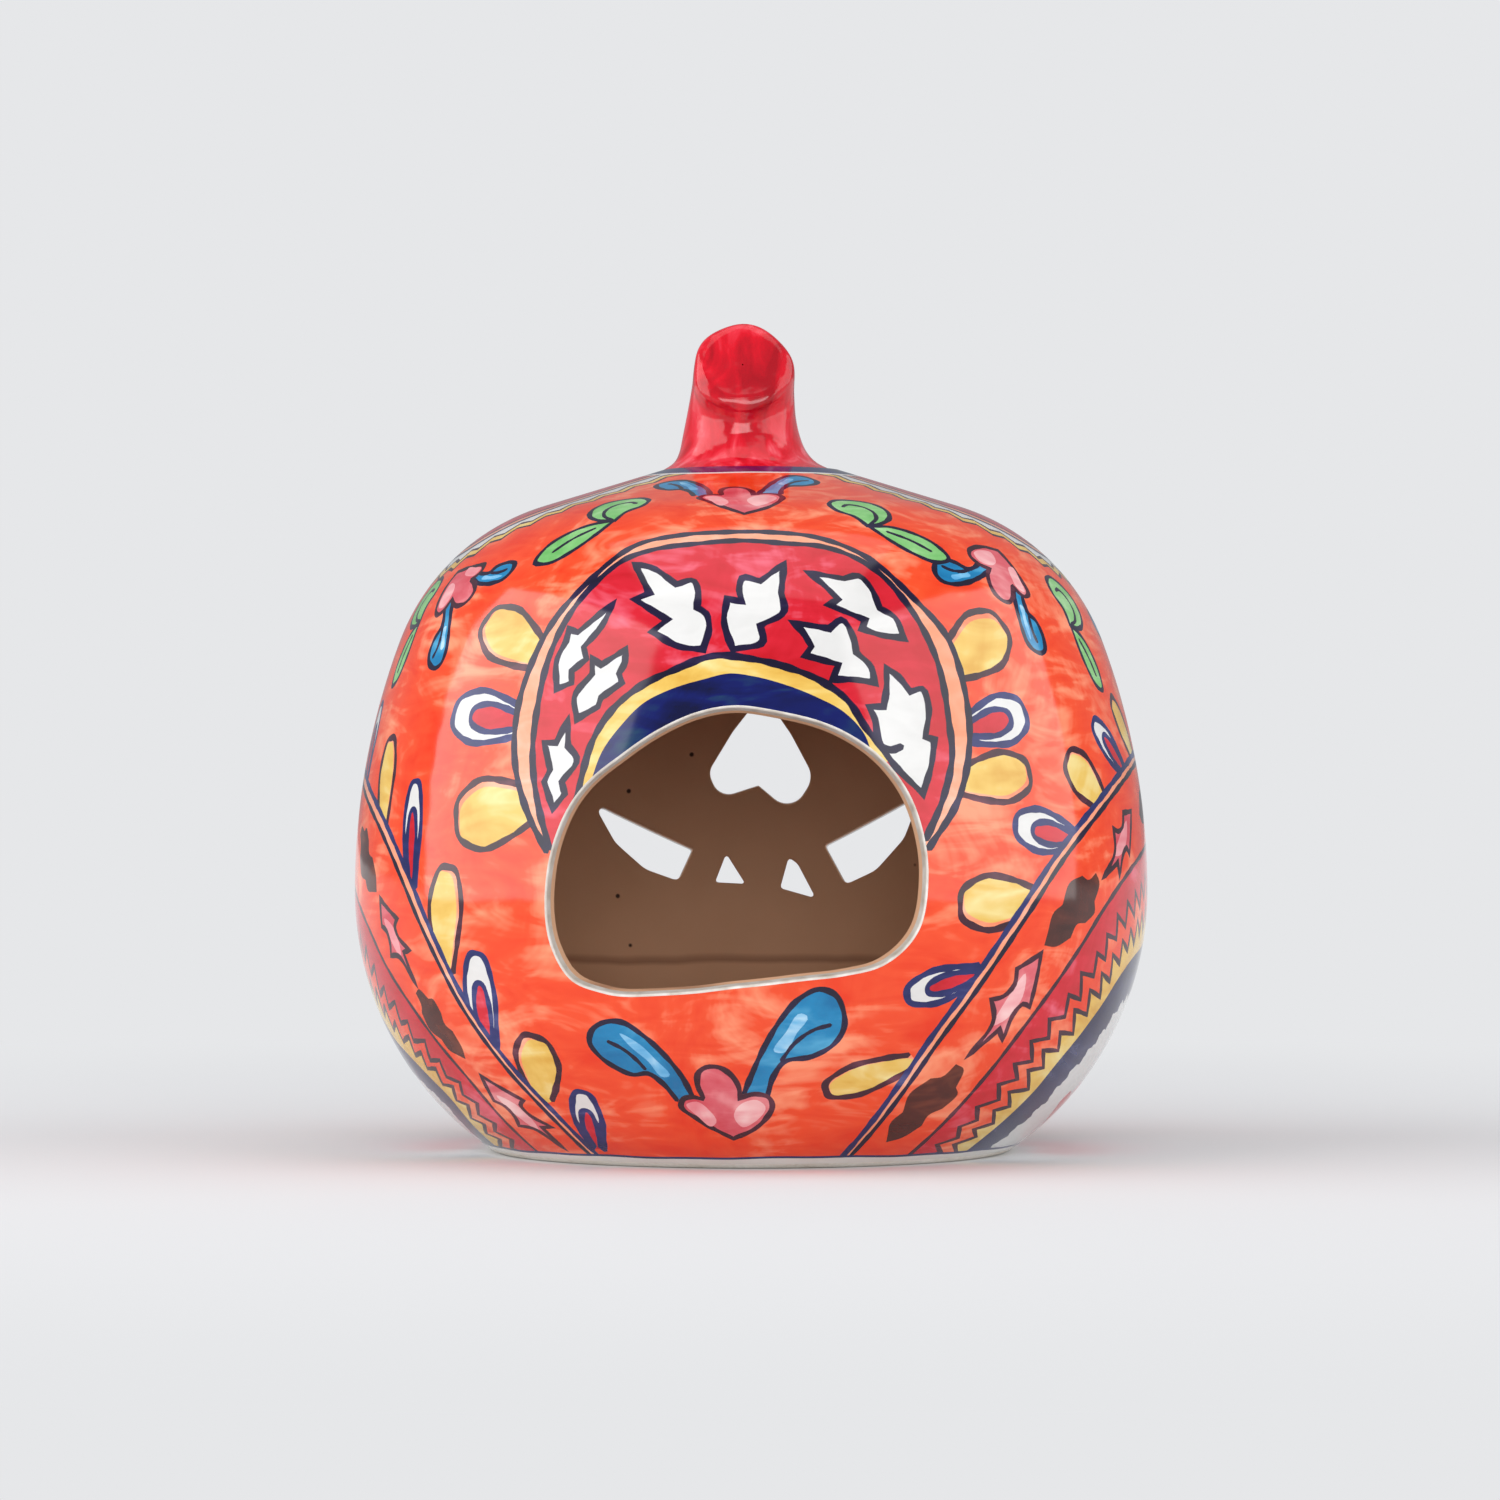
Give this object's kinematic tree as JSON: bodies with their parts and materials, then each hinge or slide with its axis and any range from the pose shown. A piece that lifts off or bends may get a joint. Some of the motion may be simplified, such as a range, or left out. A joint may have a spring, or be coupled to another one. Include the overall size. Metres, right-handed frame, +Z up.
{
  "type": "ceramic diya lantern",
  "caption": "Gourd-shaped hollow ceramic lantern with a hand-cut mouth, a pierced back wall and a bent stalk, sheltering a small clay oil lamp that lifts out through the mouth.",
  "frame": {"origin": "centre of the foot, on the surface it stands on", "axes": "+Z up along the body's axis of revolution, -Y out of the mouth, +X to the right as seen from the mouth side"},
  "size_m": [0.14, 0.1382, 0.1461],
  "materials": {
    "painted_glaze": "glossy",
    "bare_ceramic": "matte",
    "stalk_glaze": "glossy",
    "terracotta": "matte",
    "lamp_oil": "glossy",
    "cotton": "matte"
  },
  "bodies": {
    "lantern": {"body_shell": "painted_glaze", "floor_slab": "bare_ceramic", "stem": "stalk_glaze"},
    "oil_lamp": {"diya_bowl": "terracotta", "oil": "lamp_oil", "wick": "cotton"}
  },
  "joints": [
    {"name": "diya_lift", "type": "slide", "parent": "lantern", "child": "oil_lamp", "axis": [0, -0.8537, 0.5208], "range_m": [0, 0.13]}
  ]
}
